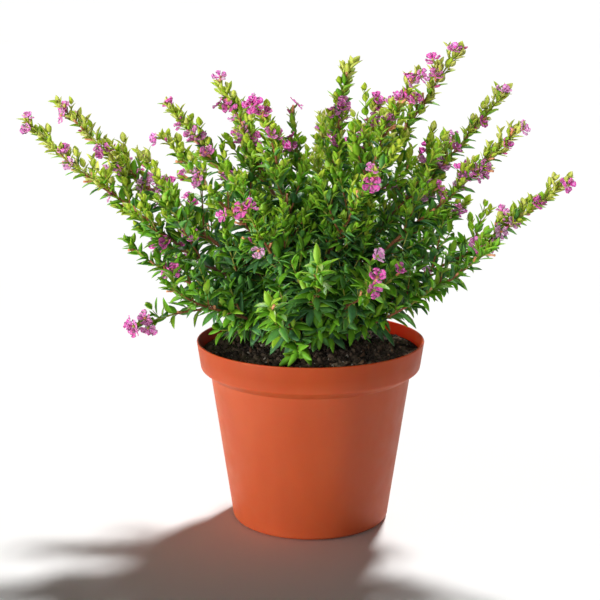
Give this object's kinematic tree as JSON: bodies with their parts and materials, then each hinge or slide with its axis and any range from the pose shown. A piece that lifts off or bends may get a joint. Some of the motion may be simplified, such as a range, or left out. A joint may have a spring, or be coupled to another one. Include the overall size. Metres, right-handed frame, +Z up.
{
  "type": "potted flowering shrub",
  "caption": "Small flowering shrub of slender leafy stems that fan out from one short woody trunk, with pink blossom, in a round tapering plastic pot filled with compost.",
  "frame": {"origin": "centre of the pot's flat underside, on the pot's axis", "axes": "+Z up along the pot's axis, +X to the right and -Y towards the viewer in the picture"},
  "size_m": [0.3022, 0.221, 0.2745],
  "materials": {
    "pot_plastic": "injection moulded terracotta-coloured polypropylene, satin",
    "compost": "moist dark potting compost, granular, with bits of bark",
    "bark": "thin red-brown bark, finely furrowed at the foot",
    "foliage": "small glossy leaves from dark green to lime at the tips, with magenta blossom"
  },
  "bodies": {
    "root": {"bough_back_left": "bark", "bough_back_left_long": "bark", "bough_back_long": "bark", "bough_back_low": "bark", "bough_back_low_left": "bark", "bough_back_low_right": "bark", "bough_back_right": "bark", "bough_front_left": "bark", "bough_front_lime": "bark", "bough_front_low": "bark", "bough_front_right": "bark", "bough_front_star": "bark", "bough_front_upper": "bark", "bough_left_droop": "bark", "bough_left_long": "bark", "bough_left_low": "bark", "bough_left_second": "bark", "bough_left_side": "bark", "bough_right_foot": "bark", "bough_right_fourth": "bark", "bough_right_long": "bark", "bough_right_low": "bark", "bough_right_third": "bark", "bough_upper_left_front": "bark", "foliage_back_left": "foliage", "foliage_back_left_long": "foliage", "foliage_back_long": "foliage", "foliage_back_low": "foliage", "foliage_back_low_left": "foliage", "foliage_back_low_right": "foliage", "foliage_back_right": "foliage", "foliage_back_upper_left": "foliage", "foliage_back_upper_right": "foliage", "foliage_centre_back": "foliage", "foliage_centre_left": "foliage", "foliage_crown": "foliage", "foliage_crown_left": "foliage", "foliage_front_left": "foliage", "foliage_front_lime": "foliage", "foliage_front_low": "foliage", "foliage_front_right": "foliage", "foliage_front_star": "foliage", "foliage_front_upper": "foliage", "foliage_left_droop": "foliage", "foliage_left_long": "foliage", "foliage_left_low": "foliage", "foliage_left_second": "foliage", "foliage_left_side": "foliage", "foliage_right_foot": "foliage", "foliage_right_fourth": "foliage", "foliage_right_long": "foliage", "foliage_right_low": "foliage", "foliage_right_third": "foliage", "foliage_right_top": "foliage", "foliage_upper_left": "foliage", "foliage_upper_left_front": "foliage", "foliage_upper_right": "foliage", "pot": "pot_plastic", "soil": "compost", "trunk": "bark"}
  },
  "joints": []
}
